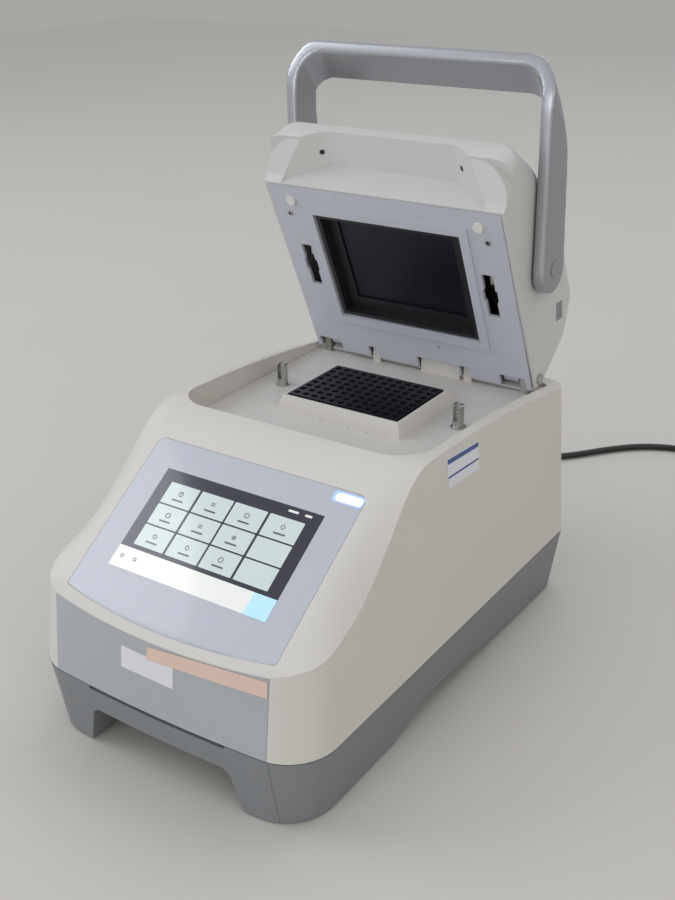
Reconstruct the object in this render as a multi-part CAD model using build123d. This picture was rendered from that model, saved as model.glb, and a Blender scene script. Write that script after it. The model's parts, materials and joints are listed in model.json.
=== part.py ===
"""Bench-top thermal cycler with a 96-well block, an opened hinged lid and a bail handle.

Millimetres, +Z up, front towards -Y.  The model is laid out from the block's centre
and then moved, so that the origin lies on the bench below the middle of the object.
"""
from build123d import *
from math import cos, pi, radians, sin, tan
import os

# Housing
BENCH_TO_BLOCK = 214.0      # height of the block's top face
BLOCK_TO_DECK = 13.0        # the deck lies this far below the block's top
SEAM_Z = 60.0               # joint between plinth and upper housing
SEAM_GAP = 0.8
SEAM_HALF = 134.5           # half width at the seam
SEAM_REAR = 136.0
SEAM_SAG = 3.7              # bulge of the front over PANEL_HALF
TOP_PLANE_Z = 240.0         # height where the walls' upper outline is given
SIDE_DRAFT = 3.5
FRONT_DRAFT = 3.2
TOP_SAG = 18.2
FRONT_CORNER_R = 40.0
REAR_CORNER_R = 18.0
WALL = 3.0
TOP_WALL = 5.0

# Sloping top
SLOPE = 33.45
GLASS_TOP_Y = -149.8
GLASS_TOP_Z = 206.1
LIP_SLOPE = 17.0            # the strip between glass and front panel is flatter
LIP_SAG = 9.2
RIM_Y = -95.0               # where the rim's height is given
RIM_Z = 224.0
RIM_FALL = 0.0214
RIM_BEND = 0.000329
KNEE_BLEND = 14.0
CROWN_FLAT = SEAM_HALF - 33.5   # half width of the flat part of the slope
CROWN_EDGE = SEAM_HALF - 5.5
EDGE_DROP = 3.0
CREASE_DROP = 16.0
CREASE_REAR = -110.0

# The touch screen's glass sets the slope's length, and that sets the housing's front.
GLASS_HALF = SEAM_HALF - 35.0
GLASS_LEN = 139.9
GLASS_BULGE = 11.0
GLASS_T = 2.0
GLASS_CORNER = 7.0
LIP_Y = GLASS_TOP_Y - (GLASS_LEN + GLASS_BULGE) * cos(radians(SLOPE)) - 0.3
SEAM_FRONT = LIP_Y - 13.3   # middle of the bulged front
CREASE_FRONT = LIP_Y - 4.0

# Plinth
PLINTH_LOW = 1.5
FOOT_HALF = SEAM_HALF - 7.5
FOOT_REAR = SEAM_REAR - 6.0
FOOT_FRONT = SEAM_FRONT + 4.8
FLOOR_Z = 20.0
FLOOR_T = 4.0
ARCH_TOP = 38.0
ARCH_HALF_TOP = 66.0
ARCH_HALF_LOW = 77.5
ARCH_R = 10.0
ARCH_BACK = SEAM_FRONT + 67.3
SIDE_ARCH = ((118, 0), (55, 5.5), (-10, 10.7), (-50, 15.5), (-81, 18.5), (-117, 17), (-145, 9.3), (-163, 0))
TONGUE = 4.4
TONGUE_T = 2.0
TONGUE_FIT = 0.9
FRONT_SLOT_HALF = 66.0
FRONT_SLOT_H = 2.6
PLINTH_PART_TOP = SEAM_HALF - 32.5   # half width of the plinth's front piece at the seam
PLINTH_PART_LOW = SEAM_HALF - 29.5
PLINTH_PART_BACK = SEAM_FRONT + 27.3
PAD_R = 7.5
PAD_H = 3.0
PAD_BOSS_R = 10.0           # riser between the pad and the floor pan
PAD_PLACES = ((FOOT_HALF - 19.0, SEAM_FRONT + 54.3), (FOOT_HALF - 17.0, FOOT_REAR - 15.0))
VENT_PITCH = 12.0
VENT_W = 6.0
VENT_R = 54.0

# Front panel and touch screen
PANEL_HALF = SEAM_HALF - 33.0
PANEL_T = 2.6
PANEL_BACK = SEAM_FRONT + 27.3
PANEL_DROP = 1.5            # panel's top edge below the lip
FIT = 0.3                   # gap round inserted panels
SCREEN_W = 150.4
SCREEN_H = 90.0
SCREEN_MID = 0.5 - GLASS_LEN / 2
MODULE_MARGIN = 7.0
MODULE_T = 6.0
BRACKET_T = 1.8
BRACKET_MARGIN = 11.0
BRACKET_TOP = -4.5
LIGHT_W = 26.0
LIGHT_H = 7.0
LIGHT_X = GLASS_HALF - 15.5
LIGHT_V = -9.0

# Recess and deck
RECESS_HALF = SEAM_HALF - 18.0
RECESS_FRONT = -114.0
RECESS_REAR = 117.0
RECESS_R = 30.0
RECESS_REAR_R = 8.0
RECESS_WALL = 2.8
DECK_T = 3.0
LEDGE_T = 3.0
LEDGE_HALF_X = 62.0
LEDGE_HALF_Y = 50.0
FRAME_FOOT_X = 62.0
FRAME_FOOT_Y = 46.0
FRAME_TOP_X = 57.8
FRAME_TOP_Y = 41.0
FRAME_H = 12.2

# Block
PITCH = 9.0
COLUMNS = 12
ROWS = 8
BLOCK_X = 108.5
BLOCK_Y = 75.0
BLOCK_T = 15.0
WELL_TOP_R = 2.95
WELL_LOW_R = 1.4
WELL_DEPTH = 12.5
SEAL_W = 1.6
SEAL_GAP = 0.1
PELTIER = 34.0
PELTIER_STEP_X = 36.0
PELTIER_STEP_Y = 37.0

# Cooling
SINK_X = 150.0
SINK_Y = 120.0
SINK_BASE = 8.0
FIN_T = 1.6
FINS = 24
FIN_H = 50.0
FAN_SIZE = 119.0
FAN_T = 25.0
FAN_BORE_R = 56.5
FAN_HUB_R = 19.0
FAN_HUB_T = 3.5
FAN_STRUTS = 4
FAN_SHAFT_R = 2.0
BLADES = 7
BLADE_PITCH = 32.0

# Boards
BOARD_Z = 34.0
BOARD_T = 1.6
SUPPLY_H = 42.0

# Latch posts
POST_X = 89.6
POST_Y = 1.0
POST_R = 4.7
POST_FOOT_R = 6.4
POST_TOP = 7.8              # above the block's top
POST_SLOT = 3.6
POST_SLOT_LOW = 6.5         # below the block's top
POST_PIN_R = 1.5

# Hinge and lid: a is measured forward from the lid plate's rear edge and
# o square to the plate, out of the machine, with the lid closed.
HINGE_Y = 98.9
HINGE_Z = 215.3
HINGE_A = 4.4
HINGE_O = 12.0
LID_OPEN = 67.6
LID_LEN = 182.8
PLATE_T = 3.0
SHELL_HALF = RECESS_HALF - 2.0
PLATE_HALF = SHELL_HALF - 2.8
SHELL_WALL = 2.5
SHELL_EDGE_R = 20.0
SHELL_CLEAR = 1.5           # lid's lower corners stay this far inside the recess
SHELL_CLEAR_TOP = 22.0
WINDOW_HALF = 71.2
WINDOW_REAR = 45.6
WINDOW_FRONT = 157.3
RING_W = 8.0
RING_H = 1.6
SLOT_REAR = 77.8
SLOT_FRONT = 121.6
SLOT_W = 10.6
SLOT_BULGE_W = 13.5
SLOT_BULGE_L = 12.0
SCOOP_HALF_TOP = 62.0
SCOOP_HALF_LOW = 96.0
SCOOP_LOW = 6.0
SCOOP_TOP = 28.0
SCOOP_RISE = 0.16
BUMPER_X = 90.3
BUMPER_A = 168.7
BUMPER_R = 4.5
BUMPER_H = 2.0
HINGE_ROD_R = 3.0
HINGE_LUG_R = 6.5
HINGE_END = SHELL_HALF + 2.0
HINGE_CAP_R = 4.6
RUN = 0.06                  # running clearance, radial
SEAT = 0.02                 # clearance where a piece is pressed home
BRACKET_X = (SHELL_HALF - 14.5, SHELL_HALF - 7.5)
BOSS_X = (44.0, 52.0)
DUCT_X = (0.0, 40.0)
LUG_X = (SHELL_HALF - 30.5, SHELL_HALF - 16.1)
LUG_A = 27.0
LUG_TOP = 13.0
NOTCH_GAP = 0.9
NOTCH_A = 12.0
NOTCH_O = 18.0
SPRING_X = (56.0, 72.0)
SPRING_R = 6.4
SPRING_TURNS = 7

# Heated lid
HEATER_HALF_X = 60.0
HEATER_HALF_Y = 45.0
HEATER_O = 12.0
HEATER_T = 8.0
HEATER_MID = 103.3
HEATER_GUIDE_X = 52.0
HEATER_GUIDE_R = 2.5
PRESS_TRAVEL = 3.0
CARRIER_HALF = 69.5
CARRIER_REAR = 47.5
CARRIER_FRONT = 155.5
CARRIER_LOW = 1.0
CARRIER_TOP = 34.0
CARRIER_WALL = 3.0
CARRIER_FLANGE = 8.0
FLANGE_T = 2.0
LIP_T = 1.4
LIP_GAP = 0.3
LIP_OVER = 3.5
HEATER_SPRING_X = 40.0
HEATER_SPRING_A = 28.0
HEATER_SPRING_R = 5.0
HEATER_SPRING_H = 7.5

# Handle and latch
PIVOT_O = 43.0
SHAFT_R = 4.0
BUSH_R = 7.0
HANDLE_SWING = 22.0
HANDLE_INNER = SHELL_HALF + 1.3
HANDLE_HALF = HANDLE_INNER + 11.2
HANDLE_RISE = 94.2          # band's outer face above the pivot, square to the band
BAND_T = 9.7
BAND_LEAN = 34.8            # the band's depth leans this far back from upright
HANDLE_CORNER_R = 31.0
HANDLE_INNER_R = 21.0
CAP_R = 7.0
CAP_T = 1.0
HOOK_T = 2.6
HOOK_HUB_R = 9.0
HOOK_ARM_W = 7.0
HOOK_TIP = 8.0              # degrees short of the post's pin
HOOK_EXTRA = 10.0
FINGER_GAP = 0.3
FINGER_T = 4.0

# Rear
REAR_PANEL_HALF = SEAM_HALF - 34.5
REAR_PANEL_LOW = 76.0
REAR_PANEL_HIGH = 170.0
REAR_PANEL_T = 1.6
REAR_FLANGE = 5.0
INLET_X = -50.0
INLET_Z = 100.0
INLET_HALF_X = 12.3
INLET_HALF_Z = 8.3
INLET_WALL = 2.4
INLET_DEPTH = 18.0
INLET_EAR = 25.0
INLET_PLATE = 2.5
PIN_X = 7.0
SWITCH_X = 13.0 - REAR_PANEL_HALF
SWITCH_HALF_X = 6.3
SWITCH_GAP = 0.4
SWITCH_TILT = 7.0
PORTS_X = 40.0

# Mains lead
CORD_R = 3.4
CONNECTOR_L = 27.0
RELIEF_L = 32.0
RELIEF_R = 6.0
CORD_Z = 4.0
COIL_X = 212.0
COIL_Y = 500.0
COIL_MID_R = 37.0
TURNS_WIDE = 2
TURNS_HIGH = 3
CORD_PITCH = 7.0
PLUG_L = 38.0

BLOCK_Z = BENCH_TO_BLOCK
DECK_Z = BLOCK_Z - BLOCK_TO_DECK
LID_PLANE = HINGE_Z - HINGE_O
LID_REAR = HINGE_Y + HINGE_A
PIVOT_A = LID_REAR - POST_Y
PIVOT_Y = LID_REAR - PIVOT_A
PIVOT_Z = LID_PLANE + PIVOT_O
LEDGE_Z = DECK_Z - DECK_T
SINK_TOP = LEDGE_Z - LEDGE_T - 0.1
BLOCK_LOW = BLOCK_Z - BLOCK_T
FIN_LOW = SINK_TOP - SINK_BASE - FIN_H
FAN_TOP = FIN_LOW - 0.3
HEATER_GUIDE_O = PIVOT_O - SHAFT_R - PRESS_TRAVEL - 1.0   # guides stay below the latch shaft
FAR = 600.0                 # past everything, for cuts

parts = {}


def box(x0, x1, y0, y1, z0, z1):
    """Box between two corners."""
    return Pos((x0 + x1) / 2, (y0 + y1) / 2, (z0 + z1) / 2) * Box(x1 - x0, y1 - y0, z1 - z0)


def rounded_box(half_x, half_y, z0, z1, radius, mid_y=0.0):
    """Upright block with rounded corners."""
    face = RectangleRounded(2 * half_x, 2 * half_y, radius)
    return Pos(0, mid_y, z0) * extrude(face, z1 - z0)


def rod(radius, x0, x1, y, z):
    """Round bar along X."""
    return Pos((x0 + x1) / 2, y, z) * Rot(0, 90, 0) * Cylinder(radius, x1 - x0)


def tube_x(outer, inner, x0, x1, y, z):
    return rod(outer, x0, x1, y, z) - rod(inner, x0 - 1, x1 + 1, y, z)


def side_prism(points, radii, x0, x1):
    """Extrude a rounded outline, given as (y, z) corners, from x0 to x1."""
    line = FilletPolyline(*points, radius=radii, close=True)
    face = make_face(Plane.YZ.offset(x0) * line)
    return extrude(face, x1 - x0, dir=(1, 0, 0))


def mirrored(shape):
    return mirror(shape, Plane.YZ)


def lid(a, o):
    """Closed-lid place (y, z) of a point given in the lid's own directions."""
    return (LID_REAR - a, LID_PLANE + o)


def lid_box(x0, x1, a0, a1, o0, o1):
    return box(x0, x1, LID_REAR - a1, LID_REAR - a0, LID_PLANE + o0, LID_PLANE + o1)


def open_lid(shape):
    """Swing a piece from the closed lid to the opened one."""
    return shape.rotate(Axis((0, HINGE_Y, HINGE_Z), (1, 0, 0)), -LID_OPEN)


# Upper housing


def rim_height(y):
    u = y - RIM_Y
    return RIM_Z - RIM_FALL * u - RIM_BEND * u * u


def slope_height(y):
    return GLASS_TOP_Z + (y - GLASS_TOP_Y) * tan(radians(SLOPE))


def crown_height(x, y):
    """Height of the top surface: the slope, a soft knee and the rim, rounded off sideways."""
    lip = LIP_Y + LIP_SAG * (x / GLASS_HALF) ** 2
    low = slope_height(max(y, lip)) - max(0.0, lip - y) * tan(radians(LIP_SLOPE))
    high = rim_height(max(y, RIM_Y - 2 * KNEE_BLEND))
    mix = max(0.0, KNEE_BLEND - abs(low - high)) / KNEE_BLEND
    height = min(low, high) - mix * mix * KNEE_BLEND / 4
    side = max(0.0, (abs(x) - CROWN_FLAT) / (CROWN_EDGE - CROWN_FLAT))
    t = min(1.0, max(0.0, (y - CREASE_FRONT) / (CREASE_REAR - CREASE_FRONT)))
    drop = EDGE_DROP + CREASE_DROP * sin(pi * t) ** 2
    return height - drop * side * side


def plan_outline(z, half, rear, middle, sag, inset):
    """Plan outline at height z with a bulged front, pulled in by the inset."""
    half = half - inset
    rear = rear - inset
    middle = middle + inset
    corner = middle + sag * (half / PANEL_HALF) ** 2
    edges = [
        Line((half, corner), (half, rear)),
        Line((half, rear), (-half, rear)),
        Line((-half, rear), (-half, corner)),
        ThreePointArc((-half, corner), (0, middle), (half, corner)),
    ]
    face = make_face(edges)
    face = fillet([v for v in face.vertices() if v.Y > 0], REAR_CORNER_R - inset)
    front = [v for v in face.vertices() if abs(v.Y - corner) < 0.01]
    return Pos(0, 0, z) * fillet(front, FRONT_CORNER_R - inset)


def wall_outline(z, inset):
    """Outline of the upper housing's walls."""
    rise = z - SEAM_Z
    half = SEAM_HALF - rise * tan(radians(SIDE_DRAFT))
    middle = SEAM_FRONT + rise * tan(radians(FRONT_DRAFT))
    sag = SEAM_SAG + (TOP_SAG - SEAM_SAG) * rise / (TOP_PLANE_Z - SEAM_Z)
    return plan_outline(z, half, SEAM_REAR, middle, sag, inset)


def foot_outline(inset):
    return plan_outline(PLINTH_LOW, FOOT_HALF, FOOT_REAR, FOOT_FRONT, SEAM_SAG, inset)


def crown_section(x, lower):
    stations = [LIP_Y + step for step in (-29, -18, -9, 0, 8, 16, 31)]
    stations += [LIP_Y + (GLASS_TOP_Y - LIP_Y) * part for part in (0.44, 0.64, 0.84, 1)]
    stations += [RIM_Y + step for step in (-43, -35, -28, -21, -14, -5, 10, 35, 75, 125, 175, 240)]
    points = [(y, crown_height(x, y) - lower) for y in stations]
    top = Spline(*points)
    base = SEAM_Z - 30
    rest = Polyline(points[-1], (points[-1][0], base), (points[0][0], base), points[0])
    return Plane.YZ.offset(x) * make_face([top] + list(rest.edges()))


def crown_solid(lower):
    """Everything below the top surface, from side to side."""
    side = [CROWN_FLAT + (CROWN_EDGE - CROWN_FLAT) * k for k in (0, 0.25, 0.5, 0.75, 1.0, 1.3)]
    right = loft([crown_section(x, lower) for x in side])
    middle = extrude(crown_section(-CROWN_FLAT, lower), 2 * CROWN_FLAT, dir=(1, 0, 0))
    return middle + right + mirrored(right)


def housing_solid(inset, lower):
    walls = loft([wall_outline(SEAM_Z, inset), wall_outline(TOP_PLANE_Z, inset)], ruled=True)
    return walls & crown_solid(lower)


def glass_plane(raise_by=0.0):
    """Plane of the slope; local x right, y up the slope, z outward."""
    s = radians(SLOPE)
    normal = Vector(0, -sin(s), cos(s))
    origin = Vector(0, GLASS_TOP_Y, GLASS_TOP_Z) + normal * raise_by
    return Plane(origin=origin, x_dir=(1, 0, 0), z_dir=normal)


def glass_face(grow):
    half = GLASS_HALF + grow
    low = -GLASS_LEN - grow
    edges = [
        Line((half, low), (half, grow)),
        Line((half, grow), (-half, grow)),
        Line((-half, grow), (-half, low)),
        ThreePointArc((-half, low), (0, low - GLASS_BULGE), (half, low)),
    ]
    face = make_face(edges)
    top = [v for v in face.vertices() if v.Y > -1]
    face = fillet(top, GLASS_CORNER + grow)
    low_corners = [v for v in face.vertices() if abs(v.Y - low) < 0.01]
    return fillet(low_corners, 2.0)


def on_slope(face, z0, z1):
    """Extrude a face drawn on the slope from z0 to z1, measured square to it."""
    return glass_plane(z0) * extrude(face, z1 - z0)


def recess_outline(grow, z0, z1):
    """Block in the shape of the recess; its rear corners are sharper than its front ones."""
    half = RECESS_HALF + grow
    corners = [(half, RECESS_FRONT - grow), (half, RECESS_REAR + grow)]
    corners += [(-half, RECESS_REAR + grow), (-half, RECESS_FRONT - grow)]
    radii = [RECESS_R + grow, RECESS_REAR_R + grow, RECESS_REAR_R + grow, RECESS_R + grow]
    face = make_face(FilletPolyline(*corners, radius=radii, close=True))
    return Pos(0, 0, z0) * extrude(face, z1 - z0)


def make_upper_housing():
    """Shell with the deck's well, the glass pocket and the openings for panels."""
    outer = housing_solid(0, 0)
    inner = housing_solid(WALL, TOP_WALL)
    well = recess_outline(RECESS_WALL, LEDGE_Z - LEDGE_T, TOP_PLANE_Z)
    shell = outer - (inner - well)
    shell -= recess_outline(0, LEDGE_Z, TOP_PLANE_Z)
    shell -= rounded_box(LEDGE_HALF_X, LEDGE_HALF_Y, 0, TOP_PLANE_Z, 6)
    shell -= box(-FAR, FAR, -FAR, FAR, 0, SEAM_Z + SEAM_GAP / 2)
    shell -= on_slope(glass_face(FIT), -GLASS_T - 0.1, 30)
    module = Rectangle(SCREEN_W + 2 * MODULE_MARGIN + 1, SCREEN_H + 2 * MODULE_MARGIN + 1)
    shell -= on_slope(Pos(0, SCREEN_MID) * module, -30, 5)
    light = Rectangle(LIGHT_W + 0.4, LIGHT_H + 0.4)
    shell -= on_slope(Pos(LIGHT_X, LIGHT_V) * light, -30, 5)
    shell -= box(-REAR_PANEL_HALF, REAR_PANEL_HALF, SEAM_REAR - 15, SEAM_REAR + 5,
                 REAR_PANEL_LOW, REAR_PANEL_HIGH)
    low = SEAM_Z + SEAM_GAP / 2
    reach = box(-PANEL_HALF, PANEL_HALF, -FAR, PANEL_BACK, low, GLASS_TOP_Z)
    skin = (outer - housing_solid(PANEL_T, 0)) & reach & crown_solid(PANEL_DROP)
    grown = box(-PANEL_HALF - FIT, PANEL_HALF + FIT, -FAR, PANEL_BACK, 0, GLASS_TOP_Z)
    parts["upper_housing"] = shell - (grown & crown_solid(PANEL_DROP - FIT))
    parts["front_panel"] = skin


def make_screen():
    parts["touch_glass"] = on_slope(glass_face(0), -GLASS_T, 0)
    low = -GLASS_T - 0.1 - MODULE_T
    module = Pos(0, SCREEN_MID) * Rectangle(SCREEN_W + 2 * MODULE_MARGIN, SCREEN_H + 2 * MODULE_MARGIN)
    parts["display_module"] = on_slope(module, low, -GLASS_T - 0.1)
    plate = Rectangle(SCREEN_W + 2 * BRACKET_MARGIN, SCREEN_H + 2 * BRACKET_MARGIN)
    bracket = on_slope(Pos(0, SCREEN_MID) * plate, low - BRACKET_T, BRACKET_TOP)
    pocket = Rectangle(SCREEN_W + 2 * MODULE_MARGIN + 0.6, SCREEN_H + 2 * MODULE_MARGIN + 0.6)
    parts["display_bracket"] = bracket - on_slope(Pos(0, SCREEN_MID) * pocket, low - 0.1, 5)
    light = Pos(LIGHT_X, LIGHT_V) * Rectangle(LIGHT_W, LIGHT_H)
    parts["status_light_guide"] = on_slope(light, low, -GLASS_T - 0.1)


def front_prism(points, radii, y0, y1):
    """Extrude a rounded outline, given as (x, z) corners, from y0 back to y1."""
    line = FilletPolyline(*points, radius=radii, close=True)
    face = make_face(Plane(origin=(0, y0, 0), x_dir=(1, 0, 0), z_dir=(0, -1, 0)) * line)
    return extrude(face, y1 - y0, dir=(0, 1, 0))


def arch(grow, y0, y1):
    top = ARCH_TOP + grow
    corners = [(-ARCH_HALF_LOW - grow, -5), (-ARCH_HALF_TOP - grow, top)]
    corners += [(ARCH_HALF_TOP + grow, top), (ARCH_HALF_LOW + grow, -5)]
    return front_prism(corners, [0, ARCH_R + grow, ARCH_R + grow, 0], y0, y1)


def make_plinth():
    """Skirt with arches and a tongue for the upper housing, its front piece, floor pan and feet."""
    top = SEAM_Z - SEAM_GAP / 2
    outer = loft([foot_outline(0), wall_outline(top, 0)], ruled=True)
    inner = loft([foot_outline(WALL), wall_outline(top, WALL)], ruled=True)
    inside = loft([foot_outline(WALL + SEAT), wall_outline(top, WALL + SEAT)], ruled=True)
    skirt = outer - inner
    spline = Spline(*[(y, z) for y, z in SIDE_ARCH])
    closing = Polyline(SIDE_ARCH[-1], (SIDE_ARCH[-1][0], -5), (SIDE_ARCH[0][0], -5), SIDE_ARCH[0])
    face = make_face(Plane.YZ.offset(-FAR) * make_face([spline] + list(closing.edges())))
    skirt -= extrude(face, 2 * FAR, dir=(1, 0, 0))
    skirt -= arch(0, -FAR, ARCH_BACK)
    ring = extrude(wall_outline(top - TONGUE, WALL - 0.2), TONGUE)
    ring += extrude(wall_outline(top, WALL + TONGUE_FIT), TONGUE)
    skirt += ring - extrude(wall_outline(top - TONGUE - 1, WALL + TONGUE_FIT + TONGUE_T), 3 * TONGUE)
    skirt -= box(-FRONT_SLOT_HALF, FRONT_SLOT_HALF, -FAR, PLINTH_PART_BACK, top - FRONT_SLOT_H, top + 9)
    tunnel = arch(WALL, -FAR, ARCH_BACK + WALL) - arch(0, -FAR, ARCH_BACK)
    floor = box(-FAR, FAR, -FAR, FAR, FLOOR_Z, FLOOR_Z + FLOOR_T) - arch(WALL, -FAR, ARCH_BACK + WALL)
    for k in range(-4, 5):
        y = k * VENT_PITCH
        half = (VENT_R ** 2 - y ** 2) ** 0.5
        floor -= box(-half, half, y - VENT_W / 2, y + VENT_W / 2, FLOOR_Z - 1, FLOOR_Z + FLOOR_T + 1)
    for_front = [(-PLINTH_PART_LOW, 0), (-PLINTH_PART_TOP, SEAM_Z + 9)]
    for_front += [(PLINTH_PART_TOP, SEAM_Z + 9), (PLINTH_PART_LOW, 0)]
    front = front_prism(for_front, [0, 0, 0, 0], -FAR, PLINTH_PART_BACK)
    parts["plinth"] = skirt - front
    parts["plinth_floor"] = (floor + tunnel) & inside - front
    for_front = [(x - FIT if x > 0 else x + FIT, z) for x, z in for_front]
    slimmer = front_prism(for_front, [0, 0, 0, 0], -FAR, PLINTH_PART_BACK - FIT)
    parts["plinth_front"] = (skirt + (outer & (floor + tunnel))) & slimmer
    riser = Pos(0, 0, (PLINTH_LOW + FLOOR_Z) / 2) * Cylinder(PAD_BOSS_R, FLOOR_Z - PLINTH_LOW)
    pad = riser + Pos(0, 0, PAD_H / 2) * Cylinder(PAD_R, PAD_H)
    places = [(side * x, y) for x, y in PAD_PLACES for side in (1, -1)]
    for k, (x, y) in enumerate(places):
        parts[f"rubber_foot_{k + 1}"] = Pos(x, y) * pad


def make_deck():
    """Tray round the block with its raised frame, and the block in it."""
    tray = recess_outline(-FIT, LEDGE_Z, DECK_Z)
    foot = Pos(0, 0, DECK_Z - 1) * Rectangle(2 * FRAME_FOOT_X, 2 * FRAME_FOOT_Y)
    crest = Pos(0, 0, DECK_Z + FRAME_H) * Rectangle(2 * FRAME_TOP_X, 2 * FRAME_TOP_Y)
    tray += loft([foot, crest], ruled=True)
    hole_x = BLOCK_X / 2 + SEAL_W + SEAL_GAP
    hole_y = BLOCK_Y / 2 + SEAL_W + SEAL_GAP
    parts["deck_tray"] = tray - box(-hole_x, hole_x, -hole_y, hole_y, 0, 300)
    seal = box(-hole_x + SEAL_GAP, hole_x - SEAL_GAP, -hole_y + SEAL_GAP, hole_y - SEAL_GAP,
               LEDGE_Z, DECK_Z + FRAME_H - 1)
    parts["block_seal"] = seal - box(-BLOCK_X / 2, BLOCK_X / 2, -BLOCK_Y / 2, BLOCK_Y / 2, 0, 300)
    block = box(-BLOCK_X / 2, BLOCK_X / 2, -BLOCK_Y / 2, BLOCK_Y / 2, BLOCK_LOW, BLOCK_Z)
    well = Pos(0, 0, BLOCK_Z - WELL_DEPTH / 2) * Cone(WELL_LOW_R, WELL_TOP_R, WELL_DEPTH)
    block -= GridLocations(PITCH, PITCH, COLUMNS, ROWS) * well
    parts["sample_block"] = block
    module = box(-PELTIER / 2, PELTIER / 2, -PELTIER / 2, PELTIER / 2, SINK_TOP, BLOCK_LOW)
    parts["peltier_modules"] = Part() + GridLocations(PELTIER_STEP_X, PELTIER_STEP_Y, 3, 2) * module


def make_cooling():
    """Finned sink under the block and the fan that blows at it."""
    low = SINK_TOP - SINK_BASE
    sink = box(-SINK_X / 2, SINK_X / 2, -SINK_Y / 2, SINK_Y / 2, low, SINK_TOP)
    step = (SINK_X - FIN_T) / (FINS - 1)
    for k in range(FINS):
        x = -SINK_X / 2 + k * step
        sink += box(x, x + FIN_T, -SINK_Y / 2, SINK_Y / 2, FIN_LOW, low)
    parts["heat_sink"] = sink
    half = FAN_SIZE / 2
    frame = rounded_box(half, half, FAN_TOP - FAN_T, FAN_TOP, 6)
    frame -= Pos(0, 0, FAN_TOP - FAN_T / 2) * Cylinder(FAN_BORE_R, FAN_T + 2)
    low = FAN_TOP - FAN_T
    frame += Pos(0, 0, low + FAN_HUB_T / 2) * Cylinder(FAN_HUB_R, FAN_HUB_T)
    strut = box(FAN_HUB_R - 2, FAN_BORE_R + 2, -2, 2, low, low + FAN_HUB_T)
    for k in range(FAN_STRUTS):
        frame += strut.rotate(Axis.Z, 45 + k * 360 / FAN_STRUTS)
    frame -= Pos(0, 0, low) * Cylinder(FAN_SHAFT_R + RUN, 3 * FAN_HUB_T)
    parts["fan_frame"] = frame
    hub_low = low + FAN_HUB_T + 0.5
    hub_top = FAN_TOP - 1.5
    rotor = Pos(0, 0, (hub_low + hub_top) / 2) * Cylinder(FAN_HUB_R, hub_top - hub_low)
    blade_h = hub_top - hub_low - 1
    blade = Pos((FAN_HUB_R + FAN_BORE_R) / 2 - 1, 0, (hub_low + hub_top) / 2)
    blade *= Rot(BLADE_PITCH, 0, 0) * Box(FAN_BORE_R - FAN_HUB_R - 1, 1.6, blade_h)
    for k in range(BLADES):
        rotor += blade.rotate(Axis.Z, k * 360 / BLADES)
    rotor += Pos(0, 0, (low + hub_low) / 2) * Cylinder(FAN_SHAFT_R, hub_low - low)
    parts["fan_rotor"] = rotor


def make_electronics():
    floor = FLOOR_Z + FLOOR_T
    half = FOOT_HALF - 15
    board = box(-half, -6, -205, -75, BOARD_Z, BOARD_Z + BOARD_T)
    for x in (5 - half, -11):
        for y in (-200, -80):
            board += Pos(x, y, (floor + BOARD_Z) / 2) * Cylinder(3.5, BOARD_Z - floor)
    for x, y in ((-95, -185), (-95, -160), (-70, -185)):
        board += Pos(x, y, BOARD_Z + BOARD_T + 9) * Cylinder(7, 18)
    board += box(-60, -22, -150, -112, BOARD_Z, BOARD_Z + 12)
    parts["main_board"] = board
    supply = box(8, half, -205, -75, floor, floor + SUPPLY_H)
    for k in range(9):
        y = -195 + 12 * k
        supply -= box(18, half - 10, y, y + 5, floor + SUPPLY_H - 4, floor + SUPPLY_H + 1)
    parts["power_supply"] = supply


def lid_outline(inset, wall):
    """Lid's side outline as (y, z), its upper edges pulled in for the rounded sides."""
    # each corner: a, o, radius and how far the edge after it follows the inset
    corners = [
        (-6, 4, 0, 0.3), (-9, 32, 10, 0.6), (6, 81, 18, 1.0), (32, 102, 14, 1.0),
        (85, 100, 60, 1.0), (180, 72, 60, 1.0), (218, 44, 6, 0.6), (218.7, 22.5, 3, 0.0),
        (188.5, 6.5, 4, 0.0), (184.5, 0.5, 0, 0.0),
    ]
    count = len(corners)
    lines = []
    for k in range(count):
        a0, o0 = corners[k][:2]
        a1, o1 = corners[(k + 1) % count][:2]
        length = ((a1 - a0) ** 2 + (o1 - o0) ** 2) ** 0.5
        along = ((a1 - a0) / length, (o1 - o0) / length)
        inward = (along[1], -along[0])
        shift = corners[k][3] * inset
        if k < count - 1:
            shift += wall
        start = (a0 + shift * inward[0], o0 + shift * inward[1])
        lines.append((start, along))
    points = []
    for k in range(count):
        (p, d), (q, e) = lines[k - 1], lines[k]
        cross = d[0] * e[1] - d[1] * e[0]
        t = ((q[0] - p[0]) * e[1] - (q[1] - p[1]) * e[0]) / cross
        points.append(lid(p[0] + t * d[0], p[1] + t * d[1]))
    radii = [max(0.0, c[2] - 0.4 * inset * c[3]) for c in corners]
    return points, radii


def lid_section(x, inset, wall):
    points, radii = lid_outline(inset, wall)
    line = FilletPolyline(*points, radius=radii, close=True)
    return make_face(Plane.YZ.offset(x) * line)


def lid_solid(wall):
    """Closed-lid outer form, or its inside when a wall is given."""
    radius = SHELL_EDGE_R - wall
    flat = SHELL_HALF - wall - radius
    sections = []
    for angle in (0, 25, 45, 65, 90):
        x = flat + radius * sin(radians(angle))
        sections.append(lid_section(x, radius * (1 - cos(radians(angle))), wall))
    side = loft(sections)
    middle = extrude(lid_section(-flat, 0, wall), 2 * flat, dir=(1, 0, 0))
    return middle + side + mirrored(side)


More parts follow.
